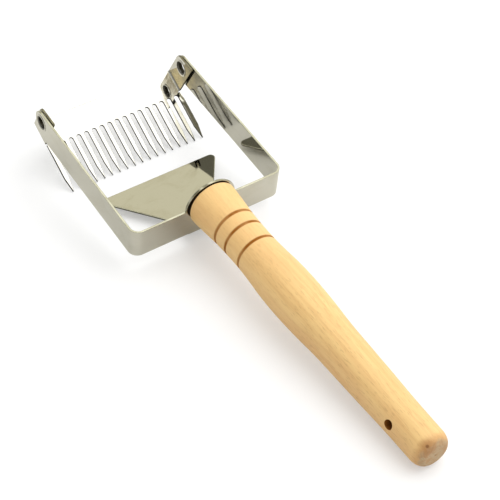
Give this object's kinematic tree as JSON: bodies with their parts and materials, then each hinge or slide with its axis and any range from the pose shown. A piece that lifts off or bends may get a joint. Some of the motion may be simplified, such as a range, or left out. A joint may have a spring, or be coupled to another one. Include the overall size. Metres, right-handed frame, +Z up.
{
  "type": "uncapping fork",
  "caption": "Beekeeping uncapping fork: hinged comb of pointed tines in a U-shaped polished steel frame with a guide plate, on a turned wooden handle.",
  "frame": {"origin": "middle of the fork's box in plan, on the table that the tine points and the end of the handle rest on", "axes": "+X across the head, to the right seen from the handle; +Y from the handle to the comb; +Z up, square to the table"},
  "size_m": [0.0908, 0.2916, 0.0421],
  "materials": {
    "polished_steel": "mirror-polished stainless sheet",
    "fastener_steel": "bright stainless",
    "beech_wood": "fine-sanded, clear matt oil, burnt grooves"
  },
  "bodies": {
    "frame": {"frame_strap": "polished_steel", "guide_plate": "polished_steel", "pivot_rivet_left": "fastener_steel", "pivot_rivet_right": "fastener_steel", "pivot_washer_left": "fastener_steel", "pivot_washer_right": "fastener_steel", "handle_screw": "fastener_steel", "screw_washer": "fastener_steel", "wooden_handle": "beech_wood"},
    "comb": {"tine_comb": "polished_steel"}
  },
  "joints": [
    {"name": "comb_hinge", "type": "hinge", "parent": "frame", "child": "comb", "pos_m": [0, 0.13101, 0.03486], "axis": [1, 0, 0], "continuous": true}
  ]
}
